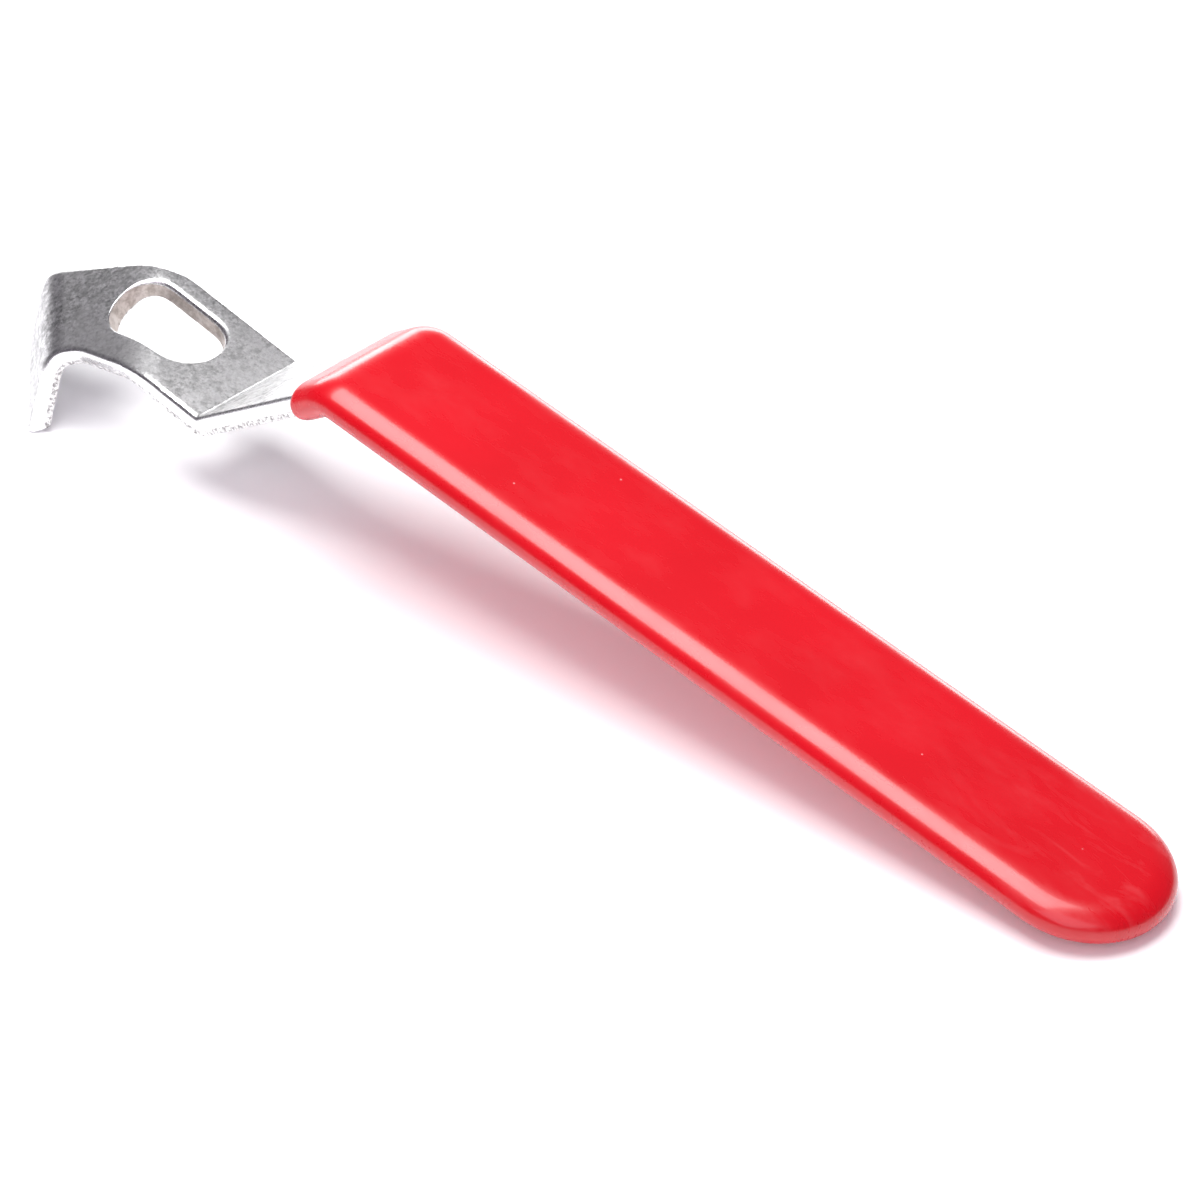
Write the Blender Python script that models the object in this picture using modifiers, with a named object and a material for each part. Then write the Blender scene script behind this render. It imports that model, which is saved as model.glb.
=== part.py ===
"""Strip-steel can opener with a dipped vinyl grip, modelled at rest on its hook and on the end of its grip.

The blade is one bar of flat steel, blanked flat and then folded four times. It is drawn here the way it is
made: a flat blank with its slot, then a fold across each bend line. The grip is the sleeve that dipping leaves
on the tang. Lengths are metres. In the flat blank, x runs from the head (-) to the grip's end (+), y runs
across the bar and the top face is at height 0.
"""

import math

import bmesh
import bpy
from mathutils import Matrix, Vector

MM = 0.001

# Steel bar
BAR_WIDTH = 25.0 * MM
BAR_THICKNESS = 3.7 * MM
HALF = BAR_WIDTH / 2

# Blank outline
TANG_END_X = 158.8 * MM
HOOK_LENGTH = 18.9 * MM
HOOK_WIDTH = 24.6 * MM
HOOK_LEAN = math.radians(-10.3)
HOOK_GRIND = math.radians(32)
CHAMFER_START_X = -66.4 * MM
POINT_BEYOND_BEND = 4.3 * MM
SHOULDER_RADIUS = 9.0 * MM
POINT_RADIUS = 3.0 * MM
CROOK_RADIUS = 9.0 * MM
TOE_RADIUS = 0.8 * MM
SLOT_CENTRE = Vector((-60.3 * MM, 0.7 * MM))
SLOT_WIDTH = 14.0 * MM
SLOT_LENGTH = 23.6 * MM

# Bends, from the grip outwards: (x where the bend line crosses the middle of the bar, skew of the line,
# fold angle with + downwards, radius of the top face, facets round the bend)
SHOULDER_BEND = (0.0, 0.0, math.radians(42.2), 8.1 * MM, 10)
NECK_BEND = (-38.8 * MM, 0.0, math.radians(-45.2), 1.2 * MM, 6)
HEAD_BEND = (-59.0 * MM, math.radians(41.9), math.radians(34.0), 14.2 * MM, 8)
HOOK_BEND = (-87.1 * MM, math.radians(47.1), math.radians(51.6), 8.3 * MM, 12)
BENDS = (SHOULDER_BEND, NECK_BEND, HEAD_BEND, HOOK_BEND)

# Dipped grip
GRIP_MOUTH_X = -10.9 * MM
GRIP_END_X = 161.3 * MM
GRIP_WIDTH = 30.0 * MM
GRIP_THICKNESS = 6.6 * MM
GRIP_EDGE_RADIUS = 2.3 * MM
GRIP_EDGE_SEGMENTS = 4
FIT_GAP = 0.3 * MM

ARC_STEP = math.radians(9)


def clear_scene():
    for obj in list(bpy.data.objects):
        bpy.data.objects.remove(obj, do_unlink=True)


def collection(name):
    made = bpy.data.collections.new(name)
    bpy.context.scene.collection.children.link(made)
    return made


def material(name, color, roughness, metallic):
    made = bpy.data.materials.new(name)
    made.use_nodes = True
    shader = made.node_tree.nodes["Principled BSDF"]
    shader.inputs["Base Color"].default_value = (*color, 1.0)
    shader.inputs["Roughness"].default_value = roughness
    shader.inputs["Metallic"].default_value = metallic
    return made


def arc(centre, radius, start, end):
    """Points round a circle from one angle to another, both ends included."""
    steps = max(2, math.ceil(abs(end - start) / ARC_STEP))
    angles = [start + (end - start) * i / steps for i in range(steps + 1)]
    return [centre + Vector((math.cos(a), math.sin(a))) * radius for a in angles]


def rounded(corners):
    """A closed outline through (point, radius) corners, each corner replaced by its fillet arc."""
    outline = []
    for i, (corner, radius) in enumerate(corners):
        if radius == 0:
            outline.append(corner)
            continue
        to_last = (corners[i - 1][0] - corner).normalized()
        to_next = (corners[(i + 1) % len(corners)][0] - corner).normalized()
        half_angle = to_last.angle(to_next) / 2
        centre = corner + (to_last + to_next).normalized() * (radius / math.sin(half_angle))
        first = corner + to_last * (radius / math.tan(half_angle)) - centre
        last = corner + to_next * (radius / math.tan(half_angle)) - centre
        start = math.atan2(first.y, first.x)
        turn = -first.angle_signed(last)
        outline += arc(centre, radius, start, start + turn)
    return outline


def bend_axes(bend):
    """The bend line's own directions in the flat: along the line, and outwards towards the head."""
    skew = bend[1]
    along = Vector((-math.sin(skew), math.cos(skew)))
    outward = Vector((-math.cos(skew), -math.sin(skew)))
    return along, outward


def hook_point(beyond, along_line):
    """A flat point by its distance beyond the hook's bend line, and along it from the leaning near side."""
    along, outward = bend_axes(HOOK_BEND)
    start = Vector((HOOK_BEND[0], 0.0)) - along * (HALF / along.y)
    return start + outward * beyond + along * (along_line + beyond * math.tan(HOOK_LEAN))


def blank_outline():
    hook = [
        (hook_point(0.0, 0.0), CROOK_RADIUS),
        (hook_point(HOOK_LENGTH, 0.0), TOE_RADIUS),
        (hook_point(HOOK_LENGTH, HOOK_WIDTH), TOE_RADIUS),
        (hook_point(POINT_BEYOND_BEND, HOOK_WIDTH), POINT_RADIUS),
        (Vector((CHAMFER_START_X, HALF)), SHOULDER_RADIUS),
    ]
    tang_end = arc(Vector((TANG_END_X - HALF, 0.0)), HALF, math.pi / 2, -math.pi / 2)
    return rounded(hook + [(point, 0.0) for point in tang_end])


def slot_outline():
    reach = (SLOT_LENGTH - SLOT_WIDTH) / 2
    right = arc(SLOT_CENTRE + Vector((reach, 0.0)), SLOT_WIDTH / 2, -math.pi / 2, math.pi / 2)
    left = arc(SLOT_CENTRE - Vector((reach, 0.0)), SLOT_WIDTH / 2, math.pi / 2, 3 * math.pi / 2)
    return right + left


def stadium_end(start_x, end_x, half_width):
    """A bar that is square at one end and fully round at the other."""
    square = [Vector((start_x, -half_width)), Vector((start_x, half_width))]
    return square + arc(Vector((end_x - half_width, 0.0)), half_width, math.pi / 2, -math.pi / 2)


def plate(name, outlines, thickness, middle, home):
    """A flat plate from 2D outlines (the first one outside, the others holes), its mid-plane at a height."""
    curve = bpy.data.curves.new(name + "_outline", "CURVE")
    curve.dimensions = "2D"
    curve.fill_mode = "BOTH"
    curve.extrude = thickness / 2
    for outline in outlines:
        spline = curve.splines.new("POLY")
        spline.points.add(len(outline) - 1)
        for point, place in zip(spline.points, outline):
            point.co = (place.x, place.y, 0.0, 1.0)
        spline.use_cyclic_u = True
    drawn = bpy.data.objects.new(name + "_outline", curve)
    home.objects.link(drawn)
    drawn.location.z = middle
    bpy.context.view_layer.update()
    seen = drawn.evaluated_get(bpy.context.evaluated_depsgraph_get())
    mesh = bpy.data.meshes.new_from_object(seen)
    mesh.name = name
    mesh.transform(drawn.matrix_world)
    bpy.data.objects.remove(drawn, do_unlink=True)
    shape = bmesh.new()
    shape.from_mesh(mesh)
    bmesh.ops.remove_doubles(shape, verts=shape.verts, dist=1e-6)
    bmesh.ops.dissolve_limit(shape, angle_limit=math.radians(0.1), verts=shape.verts, edges=shape.edges)
    bmesh.ops.recalc_face_normals(shape, faces=shape.faces)
    shape.to_mesh(mesh)
    shape.free()
    made = bpy.data.objects.new(name, mesh)
    home.objects.link(made)
    return made


def bake_modifiers(obj):
    """Replaces the object's mesh by the result of its modifiers."""
    bpy.context.view_layer.update()
    seen = obj.evaluated_get(bpy.context.evaluated_depsgraph_get())
    mesh = bpy.data.meshes.new_from_object(seen)
    obj.modifiers.clear()
    obj.data = mesh


def bend_length(bend):
    return abs(bend[2]) * bend[3]


def score(obj):
    """Cuts the mesh along the facets of every bend, so that it can fold there."""
    shape = bmesh.new()
    shape.from_mesh(obj.data)
    for bend in BENDS:
        _, outward = bend_axes(bend)
        facets = bend[4]
        for i in range(facets + 1):
            place = Vector((bend[0], 0.0)) + outward * (bend_length(bend) * i / facets)
            bmesh.ops.bisect_plane(
                shape,
                geom=shape.verts[:] + shape.edges[:] + shape.faces[:],
                dist=1e-7,
                plane_co=(place.x, place.y, 0.0),
                plane_no=(outward.x, outward.y, 0.0),
            )
    bmesh.ops.triangulate(shape, faces=[f for f in shape.faces if len(f.verts) > 4])
    shape.to_mesh(obj.data)
    shape.free()


def folded(flat):
    """Where a point of the flat blank goes when every bend is made, the handle staying level."""
    place = flat.copy()
    for bend in reversed(BENDS):
        x, _, angle, radius, _ = bend
        along, outward = bend_axes(bend)
        beyond = (flat.x - x) * outward.x + flat.y * outward.y
        if beyond <= 0:
            continue
        pivot = math.copysign(radius, angle)
        reach = (place.x - x) * outward.x + place.y * outward.y
        side = (place.x - x) * along.x + place.y * along.y
        turned = beyond / pivot
        straight = 0.0
        if beyond > bend_length(bend):
            turned = angle
            straight = reach - bend_length(bend)
        out = (pivot + place.z) * math.sin(turned) + straight * math.cos(turned)
        up = (pivot + place.z) * math.cos(turned) - pivot - straight * math.sin(turned)
        place = Vector((x + out * outward.x + side * along.x, out * outward.y + side * along.y, up))
    return place


def fold(obj):
    for vertex in obj.data.vertices:
        vertex.co = folded(vertex.co)
    obj.data.update()


def lowest(points, turn):
    return min((turn @ point).z for point in points)


def stand(objects):
    """Tilts the folded opener until hook and grip both touch the ground, centred over the origin."""
    points = [vertex.co.copy() for obj in objects for vertex in obj.data.vertices]
    head = [point for point in points if point.x < NECK_BEND[0]]
    tail = [point for point in points if point.x > 0]
    low, high = 0.0, math.radians(30)
    for _ in range(50):
        tilt = (low + high) / 2
        turn = Matrix.Rotation(tilt, 4, "Y")
        if lowest(head, turn) < lowest(tail, turn):
            low = tilt
        else:
            high = tilt
    turned = [turn @ point for point in points]
    middle = Vector([-(min(p[i] for p in turned) + max(p[i] for p in turned)) / 2 for i in range(3)])
    middle.z = -min(p.z for p in turned)
    for obj in objects:
        obj.data.transform(Matrix.Translation(middle) @ turn)


def finish(obj, look):
    obj.data.materials.clear()
    obj.data.materials.append(look)
    obj.data.shade_smooth()
    obj.data.set_sharp_from_angle(angle=math.radians(30))


def block(name, size, place, home):
    """A rectangular cutter whose own matrix is left unscaled."""
    mesh = bpy.data.meshes.new(name)
    shape = bmesh.new()
    bmesh.ops.create_cube(shape, size=1.0, matrix=place @ Matrix.Diagonal((*size, 1.0)))
    shape.to_mesh(mesh)
    shape.free()
    made = bpy.data.objects.new(name, mesh)
    home.objects.link(made)
    return made


def cut_away(obj, cutter):
    cutter.hide_render = True
    cutter.display_type = "WIRE"
    cut = obj.modifiers.new(cutter.name, "BOOLEAN")
    cut.operation = "DIFFERENCE"
    cut.solver = "EXACT"
    cut.object = cutter


def steel_blade(home, cutters):
    blade = plate(
        "steel_blade", [blank_outline(), slot_outline()], BAR_THICKNESS, -BAR_THICKNESS / 2, home
    )
    # The hook's end is ground back on its underside, which leaves the outer edge to bite.
    edge = hook_point(HOOK_LENGTH, HOOK_WIDTH / 2)
    size = Vector((10 * MM, 2 * HOOK_WIDTH, 30 * MM))
    place = Matrix.Translation((edge.x, edge.y, 0.0))
    place @= Matrix.Rotation(math.pi + HOOK_BEND[1], 4, "Z")
    place @= Matrix.Rotation(HOOK_GRIND, 4, "Y")
    place @= Matrix.Translation((size.x / 2, 0.0, 0.0))
    grind = block("hook_grind", size, place, cutters)
    cut_away(blade, grind)
    bake_modifiers(blade)
    score(blade)
    fold(blade)
    finish(blade, material("galvanised_steel", (0.55, 0.55, 0.56), 0.42, 1.0))
    return blade


def vinyl_grip(home, cutters):
    """The sleeve round the tang: open at its mouth, closed round the tang's end."""
    middle = -BAR_THICKNESS / 2
    grip = plate(
        "vinyl_grip",
        [stadium_end(GRIP_MOUTH_X - 2 * GRIP_EDGE_RADIUS, GRIP_END_X, GRIP_WIDTH / 2)],
        GRIP_THICKNESS,
        middle,
        home,
    )
    edges = grip.modifiers.new("dipped_edges", "BEVEL")
    edges.width = GRIP_EDGE_RADIUS
    edges.segments = GRIP_EDGE_SEGMENTS
    edges.limit_method = "ANGLE"
    edges.angle_limit = math.radians(60)
    edges.use_clamp_overlap = False
    bake_modifiers(grip)

    cavity = plate(
        "tang_cavity",
        [stadium_end(GRIP_MOUTH_X - 20 * MM, TANG_END_X + FIT_GAP, HALF + FIT_GAP)],
        BAR_THICKNESS + 2 * FIT_GAP,
        middle,
        cutters,
    )
    beyond_mouth = Matrix.Translation((GRIP_MOUTH_X - 10 * MM, 0.0, middle))
    mouth = block("mouth_cut", Vector((20 * MM, 2 * GRIP_WIDTH, 2 * GRIP_THICKNESS)), beyond_mouth, cutters)
    cut_away(grip, mouth)
    cut_away(grip, cavity)
    bake_modifiers(grip)
    score(grip)
    fold(grip)
    finish(grip, material("red_vinyl", (0.72, 0.02, 0.035), 0.18, 0.0))
    return grip


def main():
    clear_scene()
    parts = collection("can_opener")
    cutters = collection("cutters")
    blade = steel_blade(parts, cutters)
    grip = vinyl_grip(parts, cutters)
    stand([blade, grip])


main()
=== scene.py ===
"""Looks of the strip-steel can opener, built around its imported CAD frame.

The blade and the grip are rebuilt as finer meshes in the flat and folded the way the CAD is, so that
the sheared edges, the moulded lip and the skin of the dip are real geometry. Lengths are metres.
"""

import math

import bmesh
import bpy
import numpy as np
from mathutils import Matrix, Vector

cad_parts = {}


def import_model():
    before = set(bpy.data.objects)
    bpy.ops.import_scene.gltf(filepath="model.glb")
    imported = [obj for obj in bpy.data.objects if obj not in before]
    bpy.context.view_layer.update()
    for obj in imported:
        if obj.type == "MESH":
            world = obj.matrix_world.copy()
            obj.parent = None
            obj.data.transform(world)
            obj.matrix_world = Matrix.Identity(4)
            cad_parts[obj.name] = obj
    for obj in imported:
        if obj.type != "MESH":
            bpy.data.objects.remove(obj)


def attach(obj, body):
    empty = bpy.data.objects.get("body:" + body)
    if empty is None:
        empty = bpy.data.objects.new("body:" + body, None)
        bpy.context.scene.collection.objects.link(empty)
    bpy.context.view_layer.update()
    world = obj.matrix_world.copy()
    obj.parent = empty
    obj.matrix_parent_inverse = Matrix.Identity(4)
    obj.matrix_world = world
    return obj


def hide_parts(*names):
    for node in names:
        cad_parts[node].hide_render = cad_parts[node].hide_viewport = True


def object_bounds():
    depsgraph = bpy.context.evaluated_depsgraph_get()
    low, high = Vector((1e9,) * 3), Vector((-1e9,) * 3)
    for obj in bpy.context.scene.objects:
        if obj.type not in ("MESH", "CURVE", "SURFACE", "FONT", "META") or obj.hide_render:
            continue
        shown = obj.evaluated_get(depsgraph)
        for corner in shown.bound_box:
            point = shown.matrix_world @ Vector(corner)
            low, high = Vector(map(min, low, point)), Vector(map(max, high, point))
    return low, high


MM = 0.001

# The CAD's flat blank: x from the head (-) to the grip's end (+), top face of the steel at height 0
BAR_WIDTH = 25.0 * MM
BAR_THICKNESS = 3.7 * MM
HALF = BAR_WIDTH / 2
TANG_END_X = 158.8 * MM
HOOK_LENGTH = 18.9 * MM
HOOK_WIDTH = 24.6 * MM
HOOK_LEAN = math.radians(-10.3)
HOOK_GRIND = math.radians(32)
CHAMFER_START_X = -66.4 * MM
POINT_BEYOND_BEND = 4.3 * MM
CROOK_RADIUS = 9.0 * MM
TOE_RADIUS = 0.8 * MM
POINT_RADIUS = 3.0 * MM
SHOULDER_RADIUS = 9.0 * MM
SLOT_CENTRE = (-60.3 * MM, 0.7 * MM)
SLOT_WIDTH = 14.0 * MM
SLOT_LENGTH = 23.6 * MM
# Shoulder, neck, head and hook: x on the middle line, skew, fold angle, radius of the top face, facets
BENDS = (
    (0.0, 0.0, math.radians(42.2), 8.1 * MM, 24),
    (-38.8 * MM, 0.0, math.radians(-45.2), 1.2 * MM, 12),
    (-59.0 * MM, math.radians(41.9), math.radians(34.0), 14.2 * MM, 16),
    (-87.1 * MM, math.radians(47.1), math.radians(51.6), 8.3 * MM, 24),
)
SHOULDER_BEND, HOOK_BEND = BENDS[0], BENDS[3]
GRIP_MOUTH_X = -10.9 * MM
GRIP_END_X = 161.3 * MM
GRIP_WIDTH = 30.0 * MM
GRIP_THICKNESS = 6.6 * MM

# The CAD's rest pose of that blank
REST_TILT = math.radians(11.005)
REST_PLACE = np.array([-34.248, 1.017, 35.407]) * MM

# How finely the outline is drawn
ARC_STEP = math.radians(5)
OUTLINE_SPACING = 0.9 * MM

rng = np.random.default_rng(7)


# ---------------------------------------------------------------- folding


def bend_axes(bend):
    """Unit vectors along a bend's line and away from it towards the head, in the flat."""
    skew = bend[1]
    along = np.array([-math.sin(skew), math.cos(skew)])
    outward = np.array([-math.cos(skew), -math.sin(skew)])
    return along, outward


def folded(flat):
    """Places in the CAD's frame of an (n, 3) array of flat blank points, folded from the head inwards."""
    place = flat.copy()
    for bend in reversed(BENDS):
        x, _, angle, radius, _ = bend
        along, outward = bend_axes(bend)
        length = abs(angle) * radius
        beyond = (flat[:, 0] - x) * outward[0] + flat[:, 1] * outward[1]
        pivot = math.copysign(radius, angle)
        reach = (place[:, 0] - x) * outward[0] + place[:, 1] * outward[1]
        side = (place[:, 0] - x) * along[0] + place[:, 1] * along[1]
        past = beyond > length
        turned = np.where(past, angle, beyond / pivot)
        straight = np.where(past, reach - length, 0.0)
        arm = pivot + place[:, 2]
        out = arm * np.sin(turned) + straight * np.cos(turned)
        up = arm * np.cos(turned) - pivot - straight * np.sin(turned)
        level = out[:, None] * outward + side[:, None] * along + (x, 0.0)
        moved = np.column_stack([level, up])
        place = np.where((beyond > 0)[:, None], moved, place)
    turn = np.array(Matrix.Rotation(REST_TILT, 3, "Y"))
    return place @ turn.T + REST_PLACE


def hook_point(beyond, along_line):
    """A flat point of the hook, from where its bend's line leaves the near edge, with the hook's lean."""
    along, outward = bend_axes(HOOK_BEND)
    start = np.array([HOOK_BEND[0], 0.0]) - along * (HALF / along[1])
    return start + outward * beyond + along * (along_line + beyond * math.tan(HOOK_LEAN))


# ---------------------------------------------------------------- outlines


def arc(centre, radius, start, end):
    steps = max(3, math.ceil(abs(end - start) / ARC_STEP))
    angles = np.linspace(start, end, steps + 1)
    return [np.array(centre) + radius * np.array([math.cos(a), math.sin(a)]) for a in angles]


def rounded(corners):
    """A closed outline through (point, radius) corners."""
    outline = []
    for i, (corner, radius) in enumerate(corners):
        corner = np.array(corner)
        if radius == 0:
            outline.append(corner)
            continue
        to_last = np.array(corners[i - 1][0]) - corner
        to_next = np.array(corners[(i + 1) % len(corners)][0]) - corner
        to_last /= np.linalg.norm(to_last)
        to_next /= np.linalg.norm(to_next)
        half_angle = math.acos(max(-1.0, min(1.0, float(to_last @ to_next)))) / 2
        middle = to_last + to_next
        centre = corner + middle / np.linalg.norm(middle) * (radius / math.sin(half_angle))
        first = corner + to_last * (radius / math.tan(half_angle)) - centre
        last = corner + to_next * (radius / math.tan(half_angle)) - centre
        start = math.atan2(first[1], first[0])
        turn = math.atan2(first[0] * last[1] - first[1] * last[0], float(first @ last))
        outline += arc(centre, radius, start, start + turn)
    return outline


def resampled(outline, spacing):
    """The closed outline with its long straights cut to a spacing."""
    made = []
    for i, point in enumerate(outline):
        following = outline[(i + 1) % len(outline)]
        span = np.linalg.norm(following - point)
        if span < 1e-9:
            continue
        pieces = max(1, round(span / spacing))
        made += [point + (following - point) * k / pieces for k in range(pieces)]
    return np.array(made)


def inset(loop, distance):
    """Moves each point of a closed loop to its left by its own distance."""
    ahead = np.roll(loop, -1, 0) - loop
    ahead /= np.linalg.norm(ahead, axis=1)[:, None]
    behind = np.roll(ahead, 1, 0)
    left = np.stack([-ahead[:, 1] - behind[:, 1], ahead[:, 0] + behind[:, 0]], 1)
    scale = 2.0 / np.maximum((left**2).sum(1), 1.0)
    return loop + left * (scale * distance)[:, None]


def blank_loops():
    """The blank's outside, anticlockwise, and its slot, clockwise: steel lies to the left of both."""
    tang_end = arc((TANG_END_X - HALF, 0.0), HALF, math.pi / 2, -math.pi / 2)
    corners = [
        (hook_point(0.0, 0.0), CROOK_RADIUS),
        (hook_point(HOOK_LENGTH, 0.0), TOE_RADIUS),
        (hook_point(HOOK_LENGTH, HOOK_WIDTH), TOE_RADIUS),
        (hook_point(POINT_BEYOND_BEND, HOOK_WIDTH), POINT_RADIUS),
        (np.array([CHAMFER_START_X, HALF]), SHOULDER_RADIUS),
    ] + [(point, 0.0) for point in tang_end]
    outside = resampled(rounded(corners), OUTLINE_SPACING)[::-1]
    x, y = SLOT_CENTRE
    reach = (SLOT_LENGTH - SLOT_WIDTH) / 2
    right = arc((x + reach, y), SLOT_WIDTH / 2, -math.pi / 2, math.pi / 2)
    left = arc((x - reach, y), SLOT_WIDTH / 2, math.pi / 2, 3 * math.pi / 2)
    slot = resampled(right + left, OUTLINE_SPACING)[::-1]
    return outside, slot


# ---------------------------------------------------------------- blade

# Across a sheared edge, from the top face down: inset into the steel, height, zone, and how far a point
# strays at random. The zone is what steel_material() reads: 0 face, 1 burnished, 2 torn, 3 punched wall,
# painted darker and browner as shade
SHEAR_PROFILE = (
    (1.20 * MM, 0.0, 0.0, 0.0),
    (0.80 * MM, -0.04 * MM, 0.15, 0.0),
    (0.50 * MM, -0.14 * MM, 0.6, 0.0),
    (0.24 * MM, -0.34 * MM, 1.0, 0.0),
    (0.07 * MM, -0.64 * MM, 1.0, 0.0),
    (0.0, -0.95 * MM, 1.0, 0.0),
    (0.0, -1.60 * MM, 1.0, 0.0),
    (0.0, -2.35 * MM, 1.0, 0.06 * MM),
    (0.07 * MM, -2.60 * MM, 2.0, 0.10 * MM),
    (0.10 * MM, -2.95 * MM, 2.0, 0.08 * MM),
    (0.14 * MM, -3.30 * MM, 2.0, 0.07 * MM),
    (0.24 * MM, -3.58 * MM, 1.6, 0.04 * MM),
    (0.45 * MM, -3.70 * MM, 0.6, 0.0),
    (1.20 * MM, -3.70 * MM, 0.0, 0.0),
)
ROLLED_DEPTH = 1.0 * MM
PUNCHED_HEIGHTS = (-3.4 * MM, -0.9 * MM)
SIDEWAYS_STRAY = 0.35


def sheared_edge(shape, zone, loop, rolled, wall):
    """Skins the edge along one loop and returns its first and last rings of vertices.

    rolled scales the rolled-over corner at each point, and wall is the zone of the edge's middle."""
    rings = []
    for depth, height, mark, stray in SHEAR_PROFILE:
        below_roll = mark > 1.0 or height < -ROLLED_DEPTH
        heights = height if below_roll else height * rolled
        heights = heights + stray * rng.uniform(-1.0, 1.0, len(loop))
        ring = inset(loop, depth * rolled)
        ring = ring + SIDEWAYS_STRAY * stray * rng.uniform(-1.0, 1.0, ring.shape)
        made = [shape.verts.new((p[0], p[1], z)) for p, z in zip(ring, heights)]
        in_wall = PUNCHED_HEIGHTS[0] < height < PUNCHED_HEIGHTS[1]
        for vertex in made:
            vertex[zone] = max(mark, wall) if in_wall else mark
        rings.append(made)
    for upper, lower in zip(rings, rings[1:]):
        for i in range(len(upper)):
            j = (i + 1) % len(upper)
            shape.faces.new((upper[i], upper[j], lower[j], lower[i]))
    return rings[0], rings[-1]


def score_bends(shape):
    """Cuts the flat blank along each bend's facets, so that it can fold there."""
    for bend in BENDS:
        x, _, angle, radius, facets = bend
        _, outward = bend_axes(bend)
        length = abs(angle) * radius
        for i in range(facets + 1):
            bmesh.ops.bisect_plane(
                shape,
                geom=shape.verts[:] + shape.edges[:] + shape.faces[:],
                dist=1e-7,
                plane_co=(x + outward[0] * length * i / facets, outward[1] * length * i / facets, 0.0),
                plane_no=(outward[0], outward[1], 0.0),
            )


def grind_hook(flat):
    """Pulls in the points of the hook's end that its ground underside removes."""
    _, outward = bend_axes(HOOK_BEND)
    beyond = (flat[:, :2] - hook_point(0.0, 0.0)) @ outward
    limit = HOOK_LENGTH + flat[:, 2] * math.tan(HOOK_GRIND)
    excess = np.where(beyond > 0.5 * HOOK_LENGTH, np.maximum(beyond - limit, 0.0), 0.0)
    flat[:, :2] -= excess[:, None] * outward


def steel_blade():
    """The blank with its sheared edges, scored along the bends and folded."""
    shape = bmesh.new()
    zone = shape.verts.layers.float.new("edge_zone")
    outside, slot = blank_loops()
    # The slot's edge is rolled over most along its far side
    across = (slot[:, 1] - SLOT_CENTRE[1]) / (0.5 * SLOT_WIDTH)
    slot_roll = 0.25 + 0.95 * np.clip(across - 0.15, 0.0, 0.8)
    caps = [[], []]
    # The slot's wall zone 3.0 is where steel_material() paints shade on the punched walls
    for loop, rolled, wall in ((outside, np.ones(len(outside)), 0.0), (slot, slot_roll, 3.0)):
        for cap, ring in zip(caps, sheared_edge(shape, zone, loop, rolled, wall)):
            cap += [shape.edges.get((ring[i], ring[(i + 1) % len(ring)])) for i in range(len(ring))]
    for cap in caps:
        bmesh.ops.triangle_fill(shape, edges=cap, use_beauty=True, use_dissolve=False)
    bmesh.ops.recalc_face_normals(shape, faces=shape.faces)
    score_bends(shape)
    mesh = bpy.data.meshes.new("opener_blade")
    shape.to_mesh(mesh)
    shape.free()

    flat = np.array([v.co for v in mesh.vertices], float)
    grind_hook(flat)
    mesh.vertices.foreach_set("co", folded(flat).astype(np.float32).ravel())
    mesh.update()
    return finished(mesh, sharp=math.radians(40))


def finished(mesh, sharp):
    """Links a mesh as a piece with smooth shading, apart from edges over the sharp angle."""
    mesh.shade_smooth()
    mesh.set_sharp_from_angle(angle=sharp)
    made = bpy.data.objects.new(mesh.name, mesh)
    bpy.context.scene.collection.objects.link(made)
    normals = made.modifiers.new("weighted_normals", "WEIGHTED_NORMAL")
    normals.keep_sharp = True
    return made


# ---------------------------------------------------------------- grip

# The skin's side is a superellipse this deep, and power 2 would be a plain ellipse
SKIN_EDGE = 5.2 * MM
SKIN_POWER = 2.1
SKIN_TOP = (0.0, 0.12, 0.24, 0.36, 0.48, 0.58)
SKIN_EDGE_POINTS = 22
LIP_RADIUS = 0.85 * MM
LIP_STATIONS = (0.0, 0.06, 0.16, 0.32, 0.55, 0.85, 1.25)
BEND_STATIONS = 25
HANDLE_STATIONS = 75
SKIN_END_SPOKES = 40
TANG_END_SPOKES = 24
TANG_CLEARANCE = 0.05 * MM
SWELL_HEIGHT = 0.045 * MM


def skin_profile(shrink):
    """Half of the dip's cross-section, from its top's middle to its bottom's: (across, height)."""
    half_width = GRIP_WIDTH / 2 - shrink
    half_height = GRIP_THICKNESS / 2 - shrink
    points = [(half_width * share, half_height) for share in SKIN_TOP]
    for t in np.linspace(0.0, math.pi / 2, SKIN_EDGE_POINTS):
        across = half_width - SKIN_EDGE + SKIN_EDGE * math.sin(t) ** (2 / SKIN_POWER)
        height = half_height * math.cos(t) ** (2 / SKIN_POWER)
        points.append((across, height))
    return np.array(points + [(a, -h) for a, h in reversed(points[:-1])])


def tang_profile(count):
    """The hollow's half cross-section, with as many points as the skin's."""
    width, height = HALF + TANG_CLEARANCE, BAR_THICKNESS / 2 + TANG_CLEARANCE
    corners = np.array([(0.0, height), (width, height), (width, -height), (0.0, -height)])
    spans = np.array([width, 2 * height, width])
    marks = np.concatenate([[0.0], np.cumsum(spans)])
    # The two corners stay among the points
    first = round((count - 1) * 0.42)
    places = np.concatenate([
        np.linspace(0.0, marks[1], first + 1),
        np.linspace(marks[1], marks[2], count - 2 * first)[1:-1],
        np.linspace(marks[2], marks[3], first + 1),
    ])
    return np.stack([np.interp(places, marks, corners[:, k]) for k in (0, 1)], 1)


def stations(start, end):
    """Lengths along the grip: close together at the lip and round the bend, wider along the handle."""
    bend_length = SHOULDER_BEND[2] * SHOULDER_BEND[3]
    lip = np.array(LIP_STATIONS) * MM + start
    round_bend = np.linspace(-bend_length, 0.0, BEND_STATIONS)
    before = np.linspace(lip[-1], round_bend[0], 6)[1:-1]
    after = np.linspace(0.0, end, HANDLE_STATIONS)[1:]
    return np.concatenate([lip, before, round_bend, after])


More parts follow.
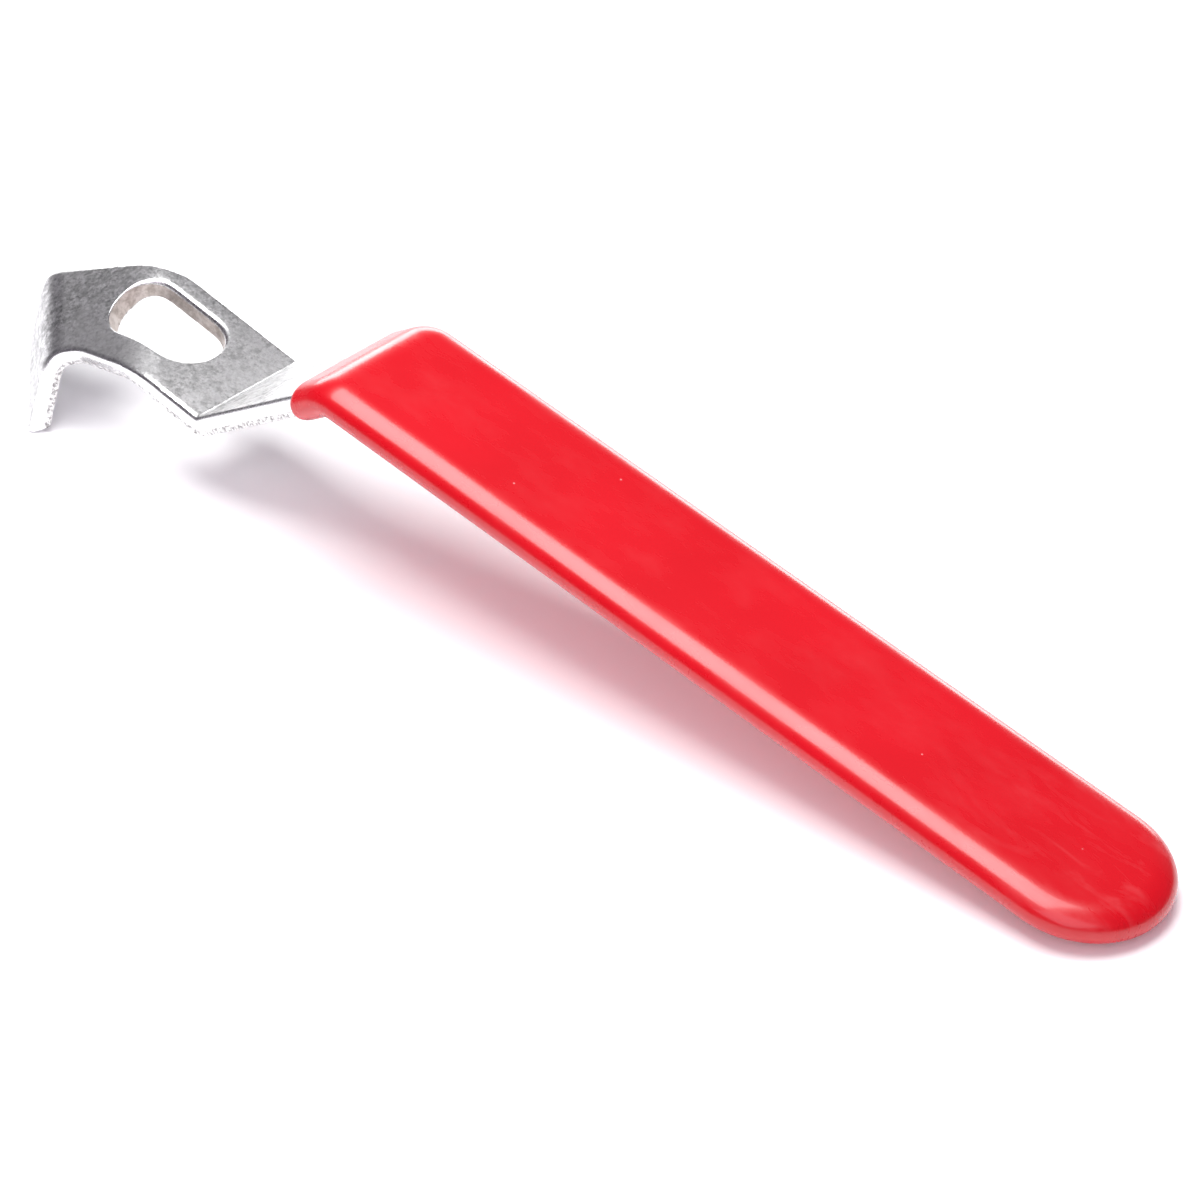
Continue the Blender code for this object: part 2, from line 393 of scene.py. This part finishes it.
def sleeve(profiles, xs, end_turns):
    """A sleeve that is open at xs[0] and closed by half a turn of the profile about the end of xs.

    Returns its flat points, its faces, and how many points are in a ring. Each ring goes from the top's
    middle down the far side and back up the near one."""
    points = []
    for x, profile in zip(xs, profiles):
        far = [(x, a, h) for a, h in profile]
        near = [(x, -a, h) for a, h in profile[-2:0:-1]]
        points += far + near
    count = 2 * len(profiles[0]) - 2
    quads = []
    for s in range(len(xs) - 1):
        for i in range(count):
            j = (i + 1) % count
            a, b = s * count, (s + 1) * count
            quads.append((a + i, b + i, b + j, a + j))
    last = (len(xs) - 1) * count
    profile = profiles[-1]
    half = len(profile)
    # Spokes round the end: the first is the far half of the last ring, the last is its near half
    spokes = [[last + i for i in range(half)]]
    for turn in range(1, end_turns):
        angle = math.pi / 2 - math.pi * turn / end_turns
        spoke = [last]
        for a, h in profile[1:-1]:
            points.append((xs[-1] + a * math.cos(angle), a * math.sin(angle), h))
            spoke.append(len(points) - 1)
        spoke.append(last + half - 1)
        spokes.append(spoke)
    spokes.append([last] + [last + count - i for i in range(1, half - 1)] + [last + half - 1])
    for one, two in zip(spokes, spokes[1:]):
        quads.append((one[0], two[1], one[1]))
        for i in range(1, half - 2):
            quads.append((one[i], two[i], two[i + 1], one[i + 1]))
        quads.append((one[-2], two[-2], one[-1]))
    return np.array(points), quads, count


def swollen(points, middle):
    """Lets the skin's flats sink unevenly by a few hundredths of a millimetre, in slow swells."""
    x, y, z = points[:, 0] / MM, points[:, 1] / MM, points[:, 2] / MM
    swell = 0.5 * np.sin(0.21 * x + 0.9) * np.sin(0.17 * y + 0.4) + 0.5 * np.sin(0.083 * x + 0.23 * y + 2.0)
    away = np.where(z > middle / MM, 1.0, -1.0)
    flatness = np.clip((np.abs(z - middle / MM) - 1.5) / 1.8, 0.0, 1.0)
    points[:, 2] += SWELL_HEIGHT * (swell - 1.0) * away * flatness


def vinyl_grip():
    """The dipped sleeve: a rounded lip, a full-round edge and end, and the tang's hollow inside."""
    xs = stations(GRIP_MOUTH_X, GRIP_END_X - GRIP_WIDTH / 2)
    profiles = []
    for x in xs:
        inside = max(0.0, 1.0 - (x - GRIP_MOUTH_X) / LIP_RADIUS)
        profiles.append(skin_profile(LIP_RADIUS * (1.0 - math.sqrt(1.0 - inside**2))))
    outer, outer_faces, count = sleeve(profiles, xs, SKIN_END_SPOKES)
    inner_xs = np.concatenate([xs[:-1], [TANG_END_X - HALF]])
    inner_profiles = [tang_profile(len(profiles[0]))] * len(inner_xs)
    inner, inner_faces, _ = sleeve(inner_profiles, inner_xs, TANG_END_SPOKES)
    middle = -BAR_THICKNESS / 2
    outer[:, 2] += middle
    inner[:, 2] += middle
    swollen(outer, middle)
    points = np.concatenate([outer, inner])
    shift = len(outer)
    faces = list(outer_faces)
    faces += [tuple(shift + i for i in reversed(face)) for face in inner_faces]
    for i in range(count):
        j = (i + 1) % count
        faces.append((i, j, shift + j, shift + i))
    mesh = bpy.data.meshes.new("opener_grip")
    mesh.from_pydata(folded(points).tolist(), [], faces)
    mesh.validate()
    shape = bmesh.new()
    shape.from_mesh(mesh)
    bmesh.ops.recalc_face_normals(shape, faces=shape.faces)
    shape.to_mesh(mesh)
    shape.free()
    return finished(mesh, sharp=math.radians(60))


# ---------------------------------------------------------------- materials

# Stretches of the object's X: a painted sheen that lightens the steel towards the sharp bend, and the
# handled end of the grip
PAINTED_SHEEN_STRETCH = (-0.082, -0.067)
HANDLED_STRETCH = (0.082, 0.114)


class Nodes:
    """A short way to build one material's node tree."""

    def __init__(self, name):
        self.material = bpy.data.materials.new(name)
        self.material.use_nodes = True
        self.tree = self.material.node_tree
        self.shader = self.tree.nodes["Principled BSDF"]
        self.place = self.add("ShaderNodeTexCoord").outputs["Object"]

    def add(self, kind, **settings):
        node = self.tree.nodes.new(kind)
        for key, value in settings.items():
            setattr(node, key, value)
        return node

    def link(self, source, target):
        self.tree.links.new(source, target)

    def noise(self, scale, detail=2.0, rough=0.5, stretch=None, distortion=0.0):
        """Noise over the surface, scale in cells a metre."""
        texture = self.add("ShaderNodeTexNoise")
        texture.inputs["Scale"].default_value = scale
        texture.inputs["Detail"].default_value = detail
        texture.inputs["Roughness"].default_value = rough
        texture.inputs["Distortion"].default_value = distortion
        source = self.place
        if stretch is not None:
            mapping = self.add("ShaderNodeMapping")
            mapping.inputs["Scale"].default_value = stretch[0]
            mapping.inputs["Rotation"].default_value = stretch[1]
            self.link(self.place, mapping.inputs["Vector"])
            source = mapping.outputs["Vector"]
        self.link(source, texture.inputs["Vector"])
        return texture.outputs["Fac"]

    def ramp(self, source, stops):
        """A ramp of greys from (position, value) stops."""
        node = self.add("ShaderNodeValToRGB")
        elements = node.color_ramp.elements
        while len(elements) < len(stops):
            elements.new(0.5)
        for element, (position, value) in zip(elements, stops):
            element.position = position
            element.color = (value, value, value, 1.0)
        self.link(source, node.inputs["Fac"])
        return node.outputs["Color"]

    def span(self, source, low, high, to_low=0.0, to_high=1.0):
        """Maps low to high onto to_low to to_high, and holds the ends beyond."""
        node = self.add("ShaderNodeMapRange")
        ends = {"From Min": low, "From Max": high, "To Min": to_low, "To Max": to_high}
        for name, value in ends.items():
            node.inputs[name].default_value = value
        self.link(source, node.inputs["Value"])
        return node.outputs["Result"]

    def math(self, operation, one, two):
        node = self.add("ShaderNodeMath", operation=operation)
        for socket, value in zip(node.inputs, (one, two)):
            if isinstance(value, float):
                socket.default_value = value
            else:
                self.link(value, socket)
        return node.outputs["Value"]

    def mix(self, factor, one, two, blend="MIX"):
        """Mixes two colours, given as sockets or as (r, g, b)."""
        node = self.add("ShaderNodeMix", data_type="RGBA", blend_type=blend)
        if isinstance(factor, float):
            node.inputs[0].default_value = factor
        else:
            self.link(factor, node.inputs[0])
        colours = [socket for socket in node.inputs if socket.type == "RGBA"]
        for socket, value in zip(colours, (one, two)):
            if isinstance(value, tuple):
                socket.default_value = (*value, 1.0)
            else:
                self.link(value, socket)
        return next(socket for socket in node.outputs if socket.type == "RGBA")

    def lengthwise(self):
        """The X of the point in the object's frame: the head is at -X and the grip's end at +X."""
        node = self.add("ShaderNodeSeparateXYZ")
        self.link(self.place, node.inputs["Vector"])
        return node.outputs["X"]

    def bump(self, height, strength, distance):
        node = self.add("ShaderNodeBump")
        node.inputs["Strength"].default_value = strength
        node.inputs["Distance"].default_value = distance
        self.link(height, node.inputs["Height"])
        return node.outputs["Normal"]

    def finish(self, colour, rough=None, normal=None, **uniform):
        """Links what varies, and sets what is the same all over on the shader's own sockets."""
        for name, source in (("Base Color", colour), ("Roughness", rough), ("Normal", normal)):
            if source is not None:
                self.link(source, self.shader.inputs[name])
        for name, value in uniform.items():
            self.shader.inputs[name.replace("_", " ")].default_value = value
        return self.material


def steel_material():
    """Bare steel: mottled faces, lightened towards the sharp bend by a painted sheen, and edges by their
    edge_zone, with painted shade on the slot's walls.
    """
    nodes = Nodes("galvanised_steel")
    zone = nodes.add("ShaderNodeAttribute", attribute_name="edge_zone").outputs["Fac"]
    grain = nodes.noise(scale=1300.0, detail=3.0, rough=0.7)
    blotch = nodes.noise(scale=520.0, detail=4.0, rough=0.8)
    cloud = nodes.noise(scale=60.0, detail=2.0, rough=0.5)
    speck = nodes.noise(scale=1600.0, detail=2.0, rough=0.7)

    mottle = nodes.ramp(blotch, [(0.38, 0.36), (0.5, 0.58), (0.61, 0.96)])
    sparkle = nodes.ramp(grain, [(0.38, 0.42), (0.5, 0.88), (0.60, 1.0)])
    face = nodes.mix(1.0, mottle, sparkle, "MULTIPLY")
    face = nodes.mix(nodes.span(cloud, 0.35, 0.65, 0.0, 0.45), face, (0.66, 0.66, 0.665))
    # Painted sheen: the faces are lightened towards the sharp bend, which runs straight across the bar, at
    # one X
    painted_sheen = nodes.span(nodes.lengthwise(), *PAINTED_SHEEN_STRETCH, 0.0, 0.7)
    painted_sheen = nodes.math("MULTIPLY", painted_sheen, nodes.span(blotch, 0.40, 0.56, 0.25, 1.0))
    face = nodes.mix(painted_sheen, face, (0.93, 0.93, 0.925))

    burnished = nodes.mix(nodes.span(grain, 0.35, 0.65), (0.84, 0.84, 0.84), (0.92, 0.92, 0.915))
    # Painted shade: the slot's punched walls are coloured darker and browner, as shade inside the hole
    slot_wall_shade = nodes.mix(nodes.span(blotch, 0.4, 0.6), (0.44, 0.39, 0.35), (0.66, 0.61, 0.57))
    torn = nodes.mix(nodes.span(speck, 0.36, 0.55), (0.30, 0.295, 0.29), (0.86, 0.855, 0.85))
    to_edge = nodes.span(zone, 0.25, 0.85)
    to_torn = nodes.span(zone, 1.25, 1.75)
    to_slot_wall_shade = nodes.span(zone, 2.25, 2.75)
    colour = nodes.mix(to_torn, nodes.mix(to_edge, face, burnished), torn)
    colour = nodes.mix(to_slot_wall_shade, colour, slot_wall_shade)

    face_rough = nodes.span(blotch, 0.3, 0.7, 0.44, 0.30)
    edge_rough = nodes.span(to_edge, 0.0, 1.0, 0.0, -0.10)
    torn_rough = nodes.span(to_torn, 0.0, 1.0, 0.0, 0.25)
    rough = nodes.math("ADD", face_rough, nodes.math("ADD", edge_rough, torn_rough))
    height = nodes.math("ADD", nodes.math("MULTIPLY", grain, 0.6), nodes.math("MULTIPLY", speck, 0.5))
    normal = nodes.bump(height, strength=0.35, distance=0.06 * MM)
    return nodes.finish(colour, rough, normal, Metallic=1.0)


def vinyl_material():
    """Glossy red dipped vinyl, with sparse specks, a faint orange peel and smudges near the grip's end."""
    nodes = Nodes("red_vinyl")
    drift = nodes.noise(scale=45.0, detail=2.0, rough=0.5)
    colour = nodes.mix(nodes.span(drift, 0.35, 0.65), (0.57, 0.0020, 0.0085), (0.61, 0.0028, 0.0105))
    # Sparse pale specks: dust and pinholes in the skin
    cells = nodes.add("ShaderNodeTexVoronoi")
    cells.inputs["Scale"].default_value = 120.0
    nodes.link(nodes.place, cells.inputs["Vector"])
    speck = nodes.ramp(cells.outputs["Distance"], [(0.0, 1.0), (0.018, 1.0), (0.028, 0.0)])
    colour = nodes.mix(nodes.math("MULTIPLY", speck, 0.5), colour, (0.9, 0.45, 0.45))
    # Handling has dulled the skin in streaks near the end of the grip
    handled = nodes.span(nodes.lengthwise(), *HANDLED_STRETCH)
    wiped = nodes.noise(150.0, 4.0, 0.65, stretch=((0.45, 1.6, 1.0), (0.0, 0.0, 0.5)), distortion=0.6)
    wiped = nodes.math("MULTIPLY", handled, nodes.span(wiped, 0.50, 0.66))
    colour = nodes.mix(nodes.math("MULTIPLY", wiped, 0.07), colour, (0.85, 0.16, 0.18))

    smudge = nodes.noise(80.0, 5.0, 0.6, stretch=((1.0, 2.2, 1.0), (0.0, 0.0, 0.6)))
    smudge_rough = nodes.span(smudge, 0.45, 0.75, 0.26, 0.36)
    rough = nodes.math("ADD", smudge_rough, nodes.math("MULTIPLY", wiped, 0.14))
    orange_peel = nodes.noise(scale=160.0, detail=2.0, rough=0.5)
    fine = nodes.noise(scale=1400.0, detail=2.0, rough=0.5)
    height = nodes.math("ADD", orange_peel, nodes.math("MULTIPLY", fine, 0.06))
    height = nodes.math("ADD", height, nodes.math("MULTIPLY", speck, 0.4))
    height = nodes.math("ADD", height, nodes.math("MULTIPLY", wiped, 0.06))
    normal = nodes.bump(height, strength=0.25, distance=0.05 * MM)
    return nodes.finish(colour, rough, normal, IOR=1.5, Coat_Weight=0.35, Coat_Roughness=0.13)


def floor_material():
    """A pale matt table with a faint glow of its own, which keeps the shadows soft."""
    nodes = Nodes("pale_table")
    tone = nodes.noise(scale=6.0, detail=2.0, rough=0.5)
    colour = nodes.mix(tone, (0.94, 0.94, 0.945), (0.96, 0.96, 0.965))
    return nodes.finish(
        colour,
        Roughness=0.85,
        Specular_IOR_Level=0.2,
        Emission_Color=(0.90, 0.86, 1.0, 1.0),
        Emission_Strength=0.08,
    )


# ---------------------------------------------------------------- studio

TABLE_HALF_SIDE = 1.6
WORLD_COLOUR = (0.90, 0.80, 0.98, 1.0)
WORLD_STRENGTH = 0.12
WHITE = (1.0, 1.0, 1.0)
# Name, direction from the object's middle, distance, size, power in watts, colour
SOFTBOXES = (
    ("top_softbox", (-0.12, -0.04, 1.0), 0.66, (0.54, 0.56), 7.0, WHITE),
    ("front_softbox", (0.50, -0.60, 0.62), 1.1, (0.9, 0.9), 5.0, (0.98, 0.90, 1.0)),
    ("back_panel", (-0.62, 0.78, 0.14), 1.3, (0.38, 1.6), 10.5, WHITE),
)
# The camera turns about the CAD's rest place, and then moves across and down in its own picture plane
CAMERA_AZIMUTH = math.radians(41.315)
CAMERA_ELEVATION = math.radians(34.478)
CAMERA_ROLL = math.radians(0.334)
CAMERA_DISTANCE = 793.84 * MM
CAMERA_ACROSS = 34.21 * MM
CAMERA_DOWN = 38.11 * MM
CAMERA_LENS = 144.9
CAMERA_SENSOR = 36.0


def turned(across, up, facing):
    """The quaternion that turns local X, Y and Z to these three directions."""
    return Matrix((across, up, facing)).transposed().to_quaternion()


def softbox(name, aim, direction, distance, size, power, colour):
    data = bpy.data.lights.new(name, "AREA")
    data.shape = "RECTANGLE"
    data.size, data.size_y = size
    data.energy = power
    data.color = colour
    lamp = bpy.data.objects.new(name, data)
    direction = Vector(direction).normalized()
    lamp.location = Vector(aim) + direction * distance
    across = Vector((0.0, 1.0, 0.0)).cross(direction).normalized()
    lamp.rotation_mode = "QUATERNION"
    lamp.rotation_quaternion = turned(across, direction.cross(across), direction)
    bpy.context.scene.collection.objects.link(lamp)


def studio(low, high):
    middle = (low + high) / 2
    plane = bmesh.new()
    bmesh.ops.create_grid(plane, x_segments=8, y_segments=8, size=TABLE_HALF_SIDE)
    mesh = bpy.data.meshes.new("table")
    plane.to_mesh(mesh)
    plane.free()
    table = bpy.data.objects.new("table", mesh)
    table.location = (middle.x, middle.y, low.z)
    bpy.context.scene.collection.objects.link(table)
    mesh.materials.append(floor_material())

    world = bpy.data.worlds.new("studio")
    world.use_nodes = True
    background = world.node_tree.nodes["Background"]
    background.inputs["Color"].default_value = WORLD_COLOUR
    background.inputs["Strength"].default_value = WORLD_STRENGTH
    bpy.context.scene.world = world

    for name, direction, distance, size, power, colour in SOFTBOXES:
        softbox(name, middle, direction, distance, size, power, colour)


def camera():
    """Looks down at the opener from the grip's near side."""
    sin_azimuth, cos_azimuth = math.sin(CAMERA_AZIMUTH), math.cos(CAMERA_AZIMUTH)
    flat = math.cos(CAMERA_ELEVATION)
    level = Vector((cos_azimuth, sin_azimuth, 0.0))
    back = Vector((flat * sin_azimuth, -flat * cos_azimuth, math.sin(CAMERA_ELEVATION)))
    right = Matrix.Rotation(CAMERA_ROLL, 3, back) @ level
    up = back.cross(right)
    data = bpy.data.cameras.new("camera")
    data.sensor_width = CAMERA_SENSOR
    data.lens = CAMERA_LENS
    data.clip_start = 0.01
    data.clip_end = 10.0
    made = bpy.data.objects.new("camera", data)
    target = Vector(REST_PLACE) + right * CAMERA_ACROSS - up * CAMERA_DOWN
    made.location = target + back * CAMERA_DISTANCE
    made.rotation_mode = "QUATERNION"
    made.rotation_quaternion = turned(right, up, back)
    bpy.context.scene.collection.objects.link(made)
    bpy.context.scene.camera = made


def main():
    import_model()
    cad_low, cad_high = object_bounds()

    blade = steel_blade()
    blade.data.materials.append(steel_material())
    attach(blade, "root")
    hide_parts("steel_blade")

    grip = vinyl_grip()
    grip.data.materials.append(vinyl_material())
    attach(grip, "root")
    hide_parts("vinyl_grip")

    studio(cad_low, cad_high)
    camera()
    view = bpy.context.scene.view_settings
    view.view_transform = "Standard"
    view.look = "None"


main()
